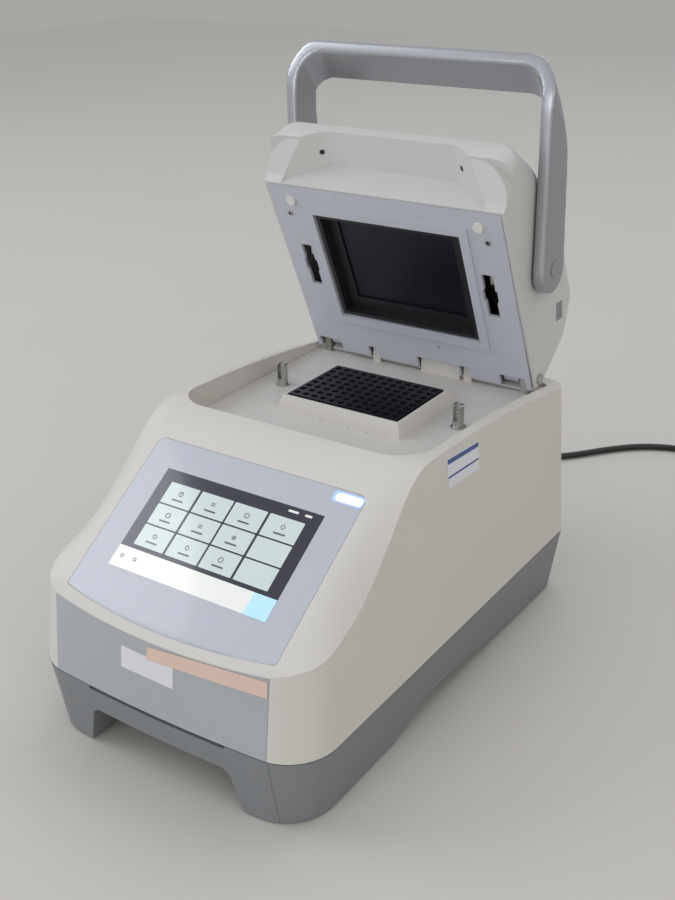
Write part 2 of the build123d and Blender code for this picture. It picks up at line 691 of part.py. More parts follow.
def scoop(grow):
    """Hollow under the front overhang of the lid."""
    lean = Vector(0, -4, 26.5).normalized()
    y, z = lid(184.5, 0.5)
    plane = Plane(origin=(0, y, z), x_dir=(1, 0, 0), z_dir=lean.cross(Vector(1, 0, 0)) * -1)
    low = SCOOP_LOW
    line = FilletPolyline(
        (-SCOOP_HALF_LOW - 4 - grow, -20), (-SCOOP_HALF_LOW - grow, low),
        (-SCOOP_HALF_TOP - grow, SCOOP_TOP + grow), (SCOOP_HALF_TOP + grow, SCOOP_TOP + grow),
        (SCOOP_HALF_LOW + grow, low), (SCOOP_HALF_LOW + 4 + grow, -20),
        radius=[0, 3, 12, 12, 3, 0], close=True)
    face = make_face(plane * line)
    body = extrude(face, 60, dir=(0, -1, SCOOP_RISE))
    return body.translate((0, grow, 0))


def lid_corners(grow):
    """What the closed lid leaves free outside the recess, so that its corners clear the rim."""
    low = LID_PLANE - 1
    high = LID_PLANE + SHELL_CLEAR_TOP + grow
    return box(-FAR, FAR, -FAR, 0, low, high) - recess_outline(-SHELL_CLEAR - grow, low - 1, high + 1)


def hinge_notches():
    """Room in the lid for the pieces that carry the hinge rod."""
    spans = [DUCT_X]
    for low, high in (BRACKET_X, BOSS_X):
        spans += [(low, high), (-high, -low)]
    cuts = Part()
    for low, high in spans:
        cuts += lid_box(low - NOTCH_GAP, high + NOTCH_GAP, -15, NOTCH_A, -3, NOTCH_O)
    return cuts


def make_lid():
    """Shell, plate, heater carrier and their fittings, built closed and then swung open."""
    room = lid_solid(SHELL_WALL) - scoop(SHELL_WALL) - lid_corners(SHELL_WALL)
    shell = lid_solid(0) - room - scoop(0) - lid_corners(0)
    shell -= lid_box(-PLATE_HALF - FIT, PLATE_HALF + FIT, -3.5, LID_LEN + FIT, -5, PLATE_T + FIT)
    rod_hole = rod(HINGE_ROD_R + RUN, -200, 200, HINGE_Y, HINGE_Z)
    shaft_hole = rod(BUSH_R + SEAT, -200, 200, PIVOT_Y, PIVOT_Z)
    notches = hinge_notches()
    parts["lid_shell"] = open_lid(shell - rod_hole - shaft_hole - notches)
    plate = lid_box(-PLATE_HALF, PLATE_HALF, 0, LID_LEN, 0, PLATE_T)
    plate += lid_box(-WINDOW_HALF - RING_W, WINDOW_HALF + RING_W,
                     WINDOW_REAR - RING_W, WINDOW_FRONT + RING_W, -RING_H, 1)
    plate -= lid_box(-WINDOW_HALF, WINDOW_HALF, WINDOW_REAR, WINDOW_FRONT, -5, 9)
    middle = (SLOT_REAR + SLOT_FRONT) / 2
    lug = side_prism([lid(LUG_A, 1), lid(LUG_A, LUG_TOP - 4), lid(HINGE_A + 3, HINGE_O + HINGE_LUG_R),
                      lid(HINGE_A - HINGE_LUG_R, HINGE_O + HINGE_LUG_R),
                      lid(HINGE_A - HINGE_LUG_R, HINGE_O - HINGE_LUG_R),
                      lid(HINGE_A + 3, HINGE_O - HINGE_LUG_R), lid(NOTCH_A + 1, 1)],
                     [0, 4, 5, 6.4, 6.4, 3, 0], *LUG_X)
    for side in (1, -1):
        x = side * POST_X
        plate -= lid_box(x - SLOT_W / 2, x + SLOT_W / 2, SLOT_REAR, SLOT_FRONT, -5, 9)
        plate -= lid_box(x - SLOT_BULGE_W / 2, x + SLOT_BULGE_W / 2,
                         middle - SLOT_BULGE_L / 2, middle + SLOT_BULGE_L / 2, -5, 9)
        low, high = sorted((side * (LUG_X[0] - 1), side * (BRACKET_X[1] + NOTCH_GAP)))
        plate -= lid_box(low, high, -1, NOTCH_A, -5, 9)
        y, z = lid(BUMPER_A, -BUMPER_H / 2)
        name = "right" if side > 0 else "left"
        bumper = Pos(side * BUMPER_X, y, z) * Cylinder(BUMPER_R, BUMPER_H)
        parts[f"lid_bumper_{name}"] = open_lid(bumper)
        ends = sorted((side * (SHELL_HALF - SHELL_WALL - 4), side * SHELL_HALF))
        bush = tube_x(BUSH_R, SHAFT_R + RUN, *ends, PIVOT_Y, PIVOT_Z)
        parts[f"shaft_bearing_{name}"] = open_lid(bush)
    plate = plate - notches + lug + mirrored(lug)
    parts["lid_plate"] = open_lid(plate - rod_hole)


def make_heater():
    """Carrier in the lid's window and the sprung plate that presses on the tubes."""
    half = CARRIER_HALF
    inner = CARRIER_WALL
    carrier = lid_box(-half, half, CARRIER_REAR, CARRIER_FRONT, CARRIER_LOW, CARRIER_TOP)
    carrier -= lid_box(-half + inner, half - inner, CARRIER_REAR + inner, CARRIER_FRONT - inner,
                       0, CARRIER_TOP - inner)
    flange = CARRIER_FLANGE
    carrier += lid_box(-half - flange, half + flange, CARRIER_REAR - flange, CARRIER_FRONT + flange,
                       PLATE_T, PLATE_T + FLANGE_T) - lid_box(
        -half + 1, half - 1, CARRIER_REAR + 1, CARRIER_FRONT - 1, 0, 30)
    lip_top = HEATER_O - LIP_GAP
    lip = lid_box(-half + 1, half - 1, CARRIER_REAR + 1, CARRIER_FRONT - 1, lip_top - LIP_T, lip_top)
    reach_x = HEATER_HALF_X - LIP_OVER
    reach_a = HEATER_HALF_Y - LIP_OVER
    carrier += lip - lid_box(-reach_x, reach_x, HEATER_MID - reach_a, HEATER_MID + reach_a, 0, 30)
    plate = lid_box(-HEATER_HALF_X, HEATER_HALF_X, HEATER_MID - HEATER_HALF_Y,
                    HEATER_MID + HEATER_HALF_Y, HEATER_O, HEATER_O + HEATER_T)
    y, z = lid(HEATER_MID, (HEATER_O + HEATER_GUIDE_O) / 2)
    for side in (1, -1):
        x = side * HEATER_GUIDE_X
        guide = Pos(x, y, z) * Cylinder(HEATER_GUIDE_R, HEATER_GUIDE_O - HEATER_O)
        plate += guide
        carrier -= Pos(x, y, z) * Cylinder(HEATER_GUIDE_R + RUN, 60)
    parts["heater_frame"] = open_lid(carrier)
    parts["heated_plate"] = open_lid(plate)
    top = CARRIER_TOP - CARRIER_WALL
    number = 0
    for x in (-HEATER_SPRING_X, HEATER_SPRING_X):
        for a in (-HEATER_SPRING_A, HEATER_SPRING_A):
            number += 1
            y, z = lid(HEATER_MID + a, top - HEATER_SPRING_H / 2)
            spring = Cylinder(HEATER_SPRING_R, HEATER_SPRING_H)
            spring -= Cylinder(HEATER_SPRING_R - 1.2, HEATER_SPRING_H + 2)
            parts[f"heater_spring_{number}"] = open_lid(Pos(x, y, z) * spring)


def make_hinge():
    """Rod, the pieces that carry it on the deck, and the lid springs on it."""
    end = HINGE_END
    hinge_rod = rod(HINGE_ROD_R, -end, end, HINGE_Y, HINGE_Z)
    for side in (1, -1):
        low, high = sorted((side * (SHELL_HALF + 0.3), side * end))
        hinge_rod += rod(HINGE_CAP_R, low, high, HINGE_Y, HINGE_Z)
    parts["hinge_rod"] = hinge_rod
    r = HINGE_LUG_R
    stand = [(HINGE_Y - r, DECK_Z), (HINGE_Y - r, HINGE_Z + r)]
    stand += [(HINGE_Y + r, HINGE_Z + r), (HINGE_Y + r, DECK_Z)]
    hole = rod(HINGE_ROD_R + SEAT, -200, 200, HINGE_Y, HINGE_Z)
    for name, span in (("hinge_bracket", BRACKET_X), ("rod_boss", BOSS_X)):
        piece = side_prism(stand, [0, r - 0.2, r - 0.2, 0], *span) - hole
        parts[f"{name}_right"] = piece
        parts[f"{name}_left"] = mirrored(piece)
    parts["cable_duct"] = side_prism(stand, [0, 3, 3, 0], *DUCT_X) - hole
    low, high = SPRING_X
    step = (high - low) / SPRING_TURNS
    wire = step / 2
    profile = []
    for k in range(SPRING_TURNS):
        x = low + k * step
        profile.append(ThreePointArc((x, SPRING_R - wire), (x + wire, SPRING_R), (x + step, SPRING_R - wire)))
    bore = HINGE_ROD_R + 0.2
    rest = Polyline((high, SPRING_R - wire), (high, bore), (low, bore), (low, SPRING_R - wire))
    coil = revolve(make_face(profile + list(rest.edges())), Axis.X)
    coil = Pos(0, HINGE_Y, HINGE_Z) * coil
    parts["hinge_spring_right"] = coil
    parts["hinge_spring_left"] = mirrored(coil)


def make_posts():
    post = Pos(POST_X, POST_Y, (DECK_Z + BLOCK_Z + POST_TOP) / 2)
    post *= Cylinder(POST_R, BLOCK_Z + POST_TOP - DECK_Z)
    post = chamfer(post.faces().sort_by(Axis.Z)[-1].edges(), 1)
    post += Pos(POST_X, POST_Y, DECK_Z + 0.7) * Cylinder(POST_FOOT_R, 1.4)
    post -= box(POST_X - POST_SLOT / 2, POST_X + POST_SLOT / 2, -20, 20, BLOCK_Z - POST_SLOT_LOW, 300)
    post += rod(POST_PIN_R, POST_X - 4, POST_X + 4, POST_Y, BLOCK_Z)
    parts["latch_post_right"] = post
    parts["latch_post_left"] = mirrored(post)


def opened(a, o):
    """Place (y, z) of a lid point with the lid open."""
    y, z = lid(a, o)
    turn = radians(-LID_OPEN)
    dy = y - HINGE_Y
    dz = z - HINGE_Z
    return HINGE_Y + dy * cos(turn) - dz * sin(turn), HINGE_Z + dy * sin(turn) + dz * cos(turn)


def make_handle():
    """Bail whose band leans back, with arms that broaden down to the pivot."""
    py, pz = opened(PIVOT_A, PIVOT_O)
    outline = [(-19.7, -21), (-18.9, 137), (-4.4, 172), (13.2, 146.5), (6.8, 126), (15, 92), (21, -21)]
    radii = [19.5, 60, 3, 3, 18, 60, 19.5]
    side = side_prism([(py + y, pz + z) for y, z in outline], radii, -HANDLE_HALF, HANDLE_HALF)
    lean = radians(BAND_LEAN)
    plane = Plane(origin=(0, py, pz), x_dir=(1, 0, 0), z_dir=(0, -sin(lean), cos(lean)))
    rise = HANDLE_RISE
    outer = Pos(0, rise - 150) * RectangleRounded(2 * HANDLE_HALF, 300, HANDLE_CORNER_R)
    inner = Pos(0, rise - BAND_T - 200) * RectangleRounded(2 * HANDLE_INNER, 400, HANDLE_INNER_R)
    bail = plane * Pos(0, 0, -250) * extrude(outer - inner, 500)
    handle = bail & side
    handle -= rod(SHAFT_R + SEAT, -HANDLE_HALF + 2, HANDLE_HALF - 2, py, pz)
    parts["handle"] = handle
    for name, sign in (("right", 1), ("left", -1)):
        low, high = sorted((sign * HANDLE_HALF, sign * (HANDLE_HALF + CAP_T)))
        parts[f"handle_cap_{name}"] = rod(CAP_R, low, high, py, pz)
    parts["latch_shaft"] = rod(SHAFT_R, -HANDLE_HALF + 2, HANDLE_HALF - 2, py, pz)
    finger_in = PIVOT_Z - BLOCK_Z + POST_PIN_R + FINGER_GAP
    finger_out = finger_in + FINGER_T
    root = HOOK_TIP + HANDLE_SWING + HOOK_EXTRA
    wedge = [(0, 0)]
    for angle in (HOOK_TIP, (HOOK_TIP + root) / 2, root):
        wedge.append((-60 * sin(radians(angle)), -60 * cos(radians(angle))))
    sector = make_face(Polyline(*wedge, close=True))
    finger = (Circle(finger_out) - Circle(finger_in)) & sector
    arm = Rot(0, 0, -root) * Pos(0, -finger_out / 2 - 5) * Rectangle(HOOK_ARM_W, finger_out + 10)
    arm = arm & Circle(finger_out)
    flat = finger + arm + Circle(HOOK_HUB_R) - Circle(SHAFT_R + SEAT)
    hook = Plane.YZ.offset(POST_X - HOOK_T / 2) * extrude(flat, HOOK_T)
    hook = open_lid(hook.translate((0, PIVOT_Y, PIVOT_Z)))
    parts["latch_hook_right"] = hook
    parts["latch_hook_left"] = mirrored(hook)


def make_rear():
    """Rear panel with the mains inlet, the switch and the ports."""
    inside = SEAM_REAR - WALL - 0.1
    outside = inside - REAR_PANEL_T
    grow = REAR_FLANGE
    panel = box(-REAR_PANEL_HALF - grow, REAR_PANEL_HALF + grow, outside, inside,
                REAR_PANEL_LOW - grow, REAR_PANEL_HIGH + grow)
    for k in range(9):
        x = 12 + 9.5 * k
        panel -= box(x, x + 4.5, 100, 150, 122, 162)
        panel -= box(-x - 4.5, -x, 100, 150, 122, 162)
    half_x = INLET_HALF_X + INLET_WALL
    half_z = INLET_HALF_Z + INLET_WALL
    x, z = INLET_X, INLET_Z
    panel -= box(x - half_x - 0.1, x + half_x + 0.1, 100, 150, z - half_z - 0.1, z + half_z + 0.1)
    face = inside + INLET_PLATE
    inlet = box(x - INLET_EAR, x + INLET_EAR, inside, face, z - half_z - 2, z + half_z + 2)
    inlet += box(x - half_x, x + half_x, face - INLET_DEPTH - 6, inside, z - half_z, z + half_z)
    inlet -= box(x - INLET_HALF_X, x + INLET_HALF_X, face - INLET_DEPTH, face + 1,
                 z - INLET_HALF_Z, z + INLET_HALF_Z)
    contacts = []
    for k, rise in ((-1, -2), (0, 2), (1, -2)):
        contacts.append(box(x + k * PIN_X - 1, x + k * PIN_X + 1, face - INLET_DEPTH - 1, face - 3,
                            z + rise - 2, z + rise + 2))
    parts["power_inlet"] = inlet + contacts
    nose_gap = 0.3
    nose = box(x - INLET_HALF_X + nose_gap, x + INLET_HALF_X - nose_gap, face - INLET_DEPTH + 1, face + 1,
               z - INLET_HALF_Z + nose_gap, z + INLET_HALF_Z - nose_gap)
    for k, rise in ((-1, -2), (0, 2), (1, -2)):
        nose -= box(x + k * PIN_X - 1.5, x + k * PIN_X + 1.5, 0, face - 2.5, z + rise - 2.5, z + rise + 2.5)
    grip = Plane.XZ.offset(-face) * Pos(x, z) * RectangleRounded(27, 20, 3)
    far = Plane.XZ.offset(-face - CONNECTOR_L) * Pos(x, z) * RectangleRounded(19, 16, 4)
    parts["c13_connector"] = nose + loft([grip, far], ruled=True)
    start = face + CONNECTOR_L
    rise = RELIEF_R - CORD_R - 0.6
    relief = []
    rings = 6
    for k in range(rings):
        y0 = k * RELIEF_L / rings
        radius = RELIEF_R - rise * k / rings
        relief.append(Pos(x, start + y0 + RELIEF_L / rings * 0.35, z) * Rot(90, 0, 0)
                      * Cylinder(radius, RELIEF_L / rings * 0.7))
    core = Pos(x, start + RELIEF_L / 2, z) * Rot(90, 0, 0) * Cone(CORD_R + 0.6, RELIEF_R - 1.6, RELIEF_L)
    parts["cord_relief"] = core + relief

    sx, sz = SWITCH_X, INLET_Z
    reach = 12.0
    frame_x = SWITCH_HALF_X + SWITCH_GAP
    panel -= box(sx - frame_x - 1.9, sx + frame_x + 1.9, 100, 150, sz - reach - 1.9, sz + reach + 1.9)
    frame = box(sx - frame_x - 1.8, sx + frame_x + 1.8, inside - 14, inside, sz - reach - 1.8, sz + reach + 1.8)
    frame += box(sx - frame_x - 4, sx + frame_x + 4, inside, inside + 1.6, sz - reach - 4, sz + reach + 4)
    frame -= box(sx - frame_x, sx + frame_x, inside - 11, inside + 5, sz - reach, sz + reach)
    pivot_y = inside - 1.5
    frame -= rod(1 + RUN, sx - frame_x - 1.5, sx + frame_x + 1.5, pivot_y, sz)
    parts["switch_frame"] = frame
    rocker_line = [(-4, -7), (2.5, -10.6), (4.4, 0), (2.5, 10.6), (-4, 7)]
    rocker = side_prism([(pivot_y + a, sz + b) for a, b in rocker_line], [2, 1, 6, 1, 2],
                        sx - SWITCH_HALF_X, sx + SWITCH_HALF_X)
    rocker += rod(1, sx - frame_x - 1.3, sx + frame_x + 1.3, pivot_y, sz)
    parts["mains_switch"] = rocker.rotate(Axis((0, pivot_y, sz), (1, 0, 0)), -SWITCH_TILT)

    ports = box(PORTS_X - 30, PORTS_X + 30, inside - 20, inside + 0.8, sz - 12, sz + 12)
    panel -= box(PORTS_X - 30.1, PORTS_X + 30.1, 100, 150, sz - 12.1, sz + 12.1)
    ports -= box(PORTS_X - 24, PORTS_X - 12, inside - 14, inside + 2, sz - 4.5, sz + 4.5)
    for x in (PORTS_X - 2, PORTS_X + 15):
        ports -= box(x - 2.4, x + 2.4, inside - 14, inside + 2, sz - 6.5, sz + 6.5)
    parts["rear_ports"] = ports
    parts["rear_panel"] = panel
    return start + RELIEF_L


def make_cord(start_y):
    """Lead from the inlet down to the bench and on to its put-away coil."""
    low = CORD_Z
    enter = COIL_Y - COIL_MID_R - CORD_PITCH / 2
    route = [
        (INLET_X, start_y, INLET_Z), (INLET_X, 240, INLET_Z), (-46, 284, 52), (-34, 325, 9),
        (-10, 354, low), (24, 375, low), (61, 423, low), (92, 452, low), (134, 468, low),
        (170, enter, low),
    ]
    radii = []
    for p, q, r in zip(route, route[1:], route[2:]):
        back = Vector(*p) - Vector(*q)
        ahead = Vector(*r) - Vector(*q)
        turn = 180 - back.get_angle(ahead)
        radii.append(0.45 * min(back.length, ahead.length) / tan(radians(turn / 2)))
    print("cord radii", [round(r) for r in radii], "smallest allowed", 10 * CORD_R)
    path = FilletPolyline(*route, radius=radii)
    begin = path.edges()[0] % 0
    tube = sweep(Plane(origin=route[0], z_dir=begin) * Circle(CORD_R), path=path)
    parts["mains_cord"] = tube
    wide = TURNS_WIDE * CORD_PITCH
    high = TURNS_HIGH * CORD_PITCH
    centre = Plane.XZ * Pos(COIL_MID_R, low - CORD_R + high / 2)
    bundle = revolve(centre * RectangleRounded(wide, high, CORD_PITCH / 2 - 0.2), Axis.Z)
    last = Vector(*route[-1]) - Vector(*route[-2])
    lead_in = sweep(Plane(origin=route[-1], z_dir=last) * Circle(CORD_R),
                    path=Line(route[-1], (COIL_X, enter, low)))
    parts["cord_coil"] = Pos(COIL_X, COIL_Y) * bundle + lead_in
    turns = TURNS_WIDE * TURNS_HIGH
    print("lead length", round(path.length + turns * 2 * pi * COIL_MID_R))
    top = low - CORD_R + high
    x = COIL_X + COIL_MID_R
    neck = Pos(x, COIL_Y - 22, top + 12) * Rot(90, 0, 0) * Cone(7.5, CORD_R + 0.8, 20)
    body = Pos(x, COIL_Y - 12 + PLUG_L / 2, top + 12) * Box(24, PLUG_L, 23)
    body = fillet(body.edges().filter_by(Axis.Y), 5)
    pins = []
    for k in (-6.35, 6.35):
        pins.append(box(x + k - 0.8, x + k + 0.8, COIL_Y - 13 + PLUG_L, COIL_Y + 6 + PLUG_L, top + 9, top + 15.3))
    parts["mains_plug"] = body + neck + pins


make_upper_housing()
make_screen()
make_plinth()
make_deck()
make_cooling()
make_electronics()
make_lid()
make_heater()
make_hinge()
make_posts()
make_handle()
make_cord(make_rear())

cord_nodes = ("c13_connector", "cord_relief", "mains_cord", "cord_coil", "mains_plug")
os.makedirs("parts", exist_ok=True)
boxes = [shape.bounding_box() for name, shape in parts.items() if name not in cord_nodes]
middle_x = (min(b.min.X for b in boxes) + max(b.max.X for b in boxes)) / 2
middle_y = (min(b.min.Y for b in boxes) + max(b.max.Y for b in boxes)) / 2
print("moved by", round(-middle_x, 3), round(-middle_y, 3))
for name, shape in parts.items():
    moved = [solid.translate((-middle_x, -middle_y, 0)) for solid in shape.solids()]
    export_step(Compound(children=moved) if len(moved) > 1 else moved[0], f"parts/{name}.step")
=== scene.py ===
import bpy
import json
import math
from mathutils import Euler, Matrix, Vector


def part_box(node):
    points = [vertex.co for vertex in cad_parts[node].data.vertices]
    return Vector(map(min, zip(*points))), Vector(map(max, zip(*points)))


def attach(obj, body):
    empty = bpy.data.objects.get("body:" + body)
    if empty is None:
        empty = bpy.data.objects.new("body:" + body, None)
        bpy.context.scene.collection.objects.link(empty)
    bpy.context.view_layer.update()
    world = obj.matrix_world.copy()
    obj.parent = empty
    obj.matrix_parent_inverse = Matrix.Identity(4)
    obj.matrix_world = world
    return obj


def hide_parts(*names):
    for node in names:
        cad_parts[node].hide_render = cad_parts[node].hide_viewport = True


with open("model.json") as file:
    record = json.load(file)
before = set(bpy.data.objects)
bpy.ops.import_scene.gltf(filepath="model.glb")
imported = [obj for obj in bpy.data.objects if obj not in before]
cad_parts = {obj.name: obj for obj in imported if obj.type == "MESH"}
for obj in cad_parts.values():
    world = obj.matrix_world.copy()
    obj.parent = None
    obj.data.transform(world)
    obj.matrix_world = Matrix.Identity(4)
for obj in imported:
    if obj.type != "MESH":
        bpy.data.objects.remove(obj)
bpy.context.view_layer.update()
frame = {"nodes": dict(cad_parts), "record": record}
mm = 0.001
bodyOf = {node: body for body, nodes in frame["record"]["behaviour"]["bodies"].items() for node in nodes}
print("frame loaded")


# Materials

def linearColour(hexColour):
    parts = [int(hexColour[k:k + 2], 16) / 255 for k in (0, 2, 4)]
    return [p / 12.92 if p <= 0.04045 else ((p + 0.055) / 1.055) ** 2.4 for p in parts] + [1.0]


def addNode(material, kind, settings, inputs):
    node = material.node_tree.nodes.new(kind)
    for key, value in settings.items():
        setattr(node, key, value)
    for key, value in inputs.items():
        if isinstance(value, bpy.types.NodeSocket):
            material.node_tree.links.new(value, node.inputs[key])
        else:
            node.inputs[key].default_value = value
    return node


def newMaterial(name):
    material = bpy.data.materials.new(name)
    material.use_nodes = True
    material.node_tree.nodes.clear()
    return material


def finishMaterial(material, shader):
    output = addNode(material, "ShaderNodeOutputMaterial", {}, {"Surface": shader.outputs[0]})
    output.location = (600, 0)
    return material


def texturedPlastic(name, hexColour, grain, roughness, bump, tint=0.06):
    # Injection-moulded ABS from a spark-eroded tool: a matt skin with a fine even grain, a little
    # uneven in tone. The real grain of 0.15 mm is drawn coarser, so that it shows in the render.
    material = newMaterial(name)
    place = addNode(material, "ShaderNodeTexCoord", {}, {})
    fine = addNode(material, "ShaderNodeTexNoise", {}, {
        "Vector": place.outputs["Object"], "Scale": 1 / (grain * mm), "Detail": 2.0, "Roughness": 0.5})
    broad = addNode(material, "ShaderNodeTexNoise", {}, {
        "Vector": place.outputs["Object"], "Scale": 1 / (90 * mm), "Detail": 3.0, "Roughness": 0.55})
    deep = [c * (1 - tint) for c in linearColour(hexColour)[:3]] + [1.0]
    colour = addNode(material, "ShaderNodeMix", {"data_type": "RGBA"}, {
        0: broad.outputs["Fac"], 6: deep, 7: linearColour(hexColour)})
    rough = addNode(material, "ShaderNodeMapRange", {}, {
        "Value": broad.outputs["Fac"], "To Min": roughness - 0.05, "To Max": roughness + 0.06})
    relief = addNode(material, "ShaderNodeBump", {}, {
        "Height": fine.outputs["Fac"], "Strength": bump, "Distance": 0.12 * mm})
    shader = addNode(material, "ShaderNodeBsdfPrincipled", {}, {
        "Base Color": colour.outputs[2], "Roughness": rough.outputs["Result"],
        "Normal": relief.outputs["Normal"], "IOR": 1.53})
    return finishMaterial(material, shader)


def paintedMetal(name, hexColour, flake, roughness, metallic):
    # Metallic lacquer on a die casting: aluminium flakes in a clear binder, which glitter faintly
    # and give a soft silver sheen. The 0.05 mm flakes are drawn larger, so that they show.
    material = newMaterial(name)
    place = addNode(material, "ShaderNodeTexCoord", {}, {})
    flakes = addNode(material, "ShaderNodeTexVoronoi", {}, {
        "Vector": place.outputs["Object"], "Scale": 1 / (flake * mm)})
    broad = addNode(material, "ShaderNodeTexNoise", {}, {
        "Vector": place.outputs["Object"], "Scale": 1 / (60 * mm), "Detail": 2.0})
    dark = [c * 0.86 for c in linearColour(hexColour)[:3]] + [1.0]
    colour = addNode(material, "ShaderNodeMix", {"data_type": "RGBA"}, {
        0: flakes.outputs["Distance"], 6: linearColour(hexColour), 7: dark})
    rough = addNode(material, "ShaderNodeMapRange", {}, {
        "Value": broad.outputs["Fac"], "To Min": roughness - 0.04, "To Max": roughness + 0.05})
    relief = addNode(material, "ShaderNodeBump", {}, {
        "Height": flakes.outputs["Distance"], "Strength": 0.12, "Distance": 0.05 * mm})
    shader = addNode(material, "ShaderNodeBsdfPrincipled", {}, {
        "Base Color": colour.outputs[2], "Roughness": rough.outputs["Result"], "Metallic": metallic,
        "Normal": relief.outputs["Normal"], "Coat Weight": 0.25, "Coat Roughness": 0.2})
    return finishMaterial(material, shader)


def groundMetal(name, hexColour, pitch, roughness):
    # Steel or aluminium turned or ground to size: bright metal with fine lay marks along the cut.
    material = newMaterial(name)
    place = addNode(material, "ShaderNodeTexCoord", {}, {})
    lay = addNode(material, "ShaderNodeMapping", {}, {
        "Vector": place.outputs["Object"], "Scale": (1 / (pitch * mm), 1 / (pitch * mm * 12), 1 / (pitch * mm))})
    marks = addNode(material, "ShaderNodeTexNoise", {}, {"Vector": lay.outputs[0], "Scale": 1.0, "Detail": 3.0})
    rough = addNode(material, "ShaderNodeMapRange", {}, {
        "Value": marks.outputs["Fac"], "To Min": roughness - 0.08, "To Max": roughness + 0.12})
    relief = addNode(material, "ShaderNodeBump", {}, {
        "Height": marks.outputs["Fac"], "Strength": 0.15, "Distance": 0.03 * mm})
    shader = addNode(material, "ShaderNodeBsdfPrincipled", {}, {
        "Base Color": linearColour(hexColour), "Metallic": 1.0, "Roughness": rough.outputs["Result"],
        "Normal": relief.outputs["Normal"]})
    return finishMaterial(material, shader)


def smoothSurface(name, hexColour, roughness, coat=0.0, ior=1.5, unevenness=0.04):
    # Rubber, acetal, glazed ceramic or a printed film: one colour, whose gloss wanders a little.
    material = newMaterial(name)
    place = addNode(material, "ShaderNodeTexCoord", {}, {})
    wander = addNode(material, "ShaderNodeTexNoise", {}, {
        "Vector": place.outputs["Object"], "Scale": 1 / (12 * mm), "Detail": 3.0})
    deep = [c * 0.94 for c in linearColour(hexColour)[:3]] + [1.0]
    colour = addNode(material, "ShaderNodeMix", {"data_type": "RGBA"}, {
        0: wander.outputs["Fac"], 6: deep, 7: linearColour(hexColour)})
    rough = addNode(material, "ShaderNodeMapRange", {}, {
        "Value": wander.outputs["Fac"], "To Min": roughness - unevenness, "To Max": roughness + unevenness})
    shader = addNode(material, "ShaderNodeBsdfPrincipled", {}, {
        "Base Color": colour.outputs[2], "Roughness": rough.outputs["Result"], "IOR": ior,
        "Coat Weight": coat, "Coat Roughness": 0.06})
    return finishMaterial(material, shader)


housingPlastic = texturedPlastic("abs_warm_white", "d0cdc7", 0.9, 0.5, 0.25)
deckPlastic = texturedPlastic("abs_deck_white", "d2cfca", 0.9, 0.48, 0.2)
lidPlastic = texturedPlastic("abs_lid_grey_white", "c9c8c6", 0.9, 0.5, 0.25)
plinthPlastic = texturedPlastic("abs_mid_grey", "7e8184", 0.9, 0.52, 0.3)
panelPlastic = texturedPlastic("abs_panel_grey", "a9acb1", 0.8, 0.42, 0.18)
lidPaint = texturedPlastic("powder_coat_light_grey", "bcbfc8", 0.7, 0.4, 0.3)
blackPlastic = texturedPlastic("nylon_black", "1b1c1f", 0.6, 0.45, 0.25)
handlePaint = paintedMetal("silver_lacquer", "b4b6ba", 0.5, 0.33, 0.8)
cheekPlastic = texturedPlastic("abs_handle_grey", "8f9194", 0.7, 0.45, 0.2)
darkAluminium = groundMetal("anodised_dark_aluminium", "3a3d45", 0.5, 0.38)
bareAluminium = groundMetal("milled_aluminium", "c9cbcd", 0.5, 0.3)
groundSteel = groundMetal("ground_steel", "b9b9b6", 0.3, 0.28)
zincSheet = groundMetal("zinc_plated_sheet", "a8aaab", 0.8, 0.42)
springSteel = groundMetal("browned_spring_steel", "7a6450", 0.3, 0.35)
blackRubber = smoothSurface("natural_rubber_black", "1d1d1e", 0.7)
sheathRubber = smoothSurface("pvc_sheath_black", "17171a", 0.42)
whiteAcetal = smoothSurface("acetal_white", "dcdad4", 0.4)
coverGlass = smoothSurface("printed_cover_grey", "b9bdc6", 0.3, coat=0.35)
labelPaper = smoothSurface("label_paper_white", "dcdde4", 0.45)
labelPeach = smoothSurface("label_vinyl_peach", "dcc3b4", 0.4)
labelBlue = smoothSurface("label_ink_blue", "3a4f8c", 0.4)
printGrey = smoothSurface("screen_print_grey", "85868a", 0.5)
# near-black for the thin discs laid in the screw sockets, the pin hole and the bores: painted shade of these
# hollows
holeShadePaint = smoothSurface("shadowed_bore_black", "232428", 0.6)

boardGreen = smoothSurface("circuit_board_green", "1f5a38", 0.35)
ceramicWhite = smoothSurface("alumina_white", "e3e1dc", 0.5)
lightGuide = smoothSurface("acrylic_milky", "e6ecf4", 0.25)


def litSurface(name, hexColour, glow, roughness=0.12):
    # A liquid-crystal picture behind bonded cover glass: it gives its own light, evenly over each
    # field, and the glass over it adds a clear reflection.
    material = newMaterial(name)
    shader = addNode(material, "ShaderNodeBsdfPrincipled", {}, {
        "Base Color": linearColour(hexColour), "Roughness": roughness, "IOR": 1.5,
        "Emission Color": linearColour(hexColour), "Emission Strength": glow,
        "Coat Weight": 0.4, "Coat Roughness": 0.05})
    return finishMaterial(material, shader)


screenDark = litSurface("lcd_dark_grey", "2b2c38", 0.15)
screenTile = litSurface("lcd_pale_green_grey", "b9c4c2", 0.3)
screenBar = litSurface("lcd_white", "d3d5d1", 0.35)
screenBlue = litSurface("lcd_light_blue", "a9d0ee", 0.4)
screenInk = litSurface("lcd_ink_grey", "4a5254", 0.05)
statusWhite = litSurface("status_light_white", "eaf1ff", 2.6)
statusBlue = litSurface("status_light_blue_edge", "8fa2f2", 0.9)
print("materials made")

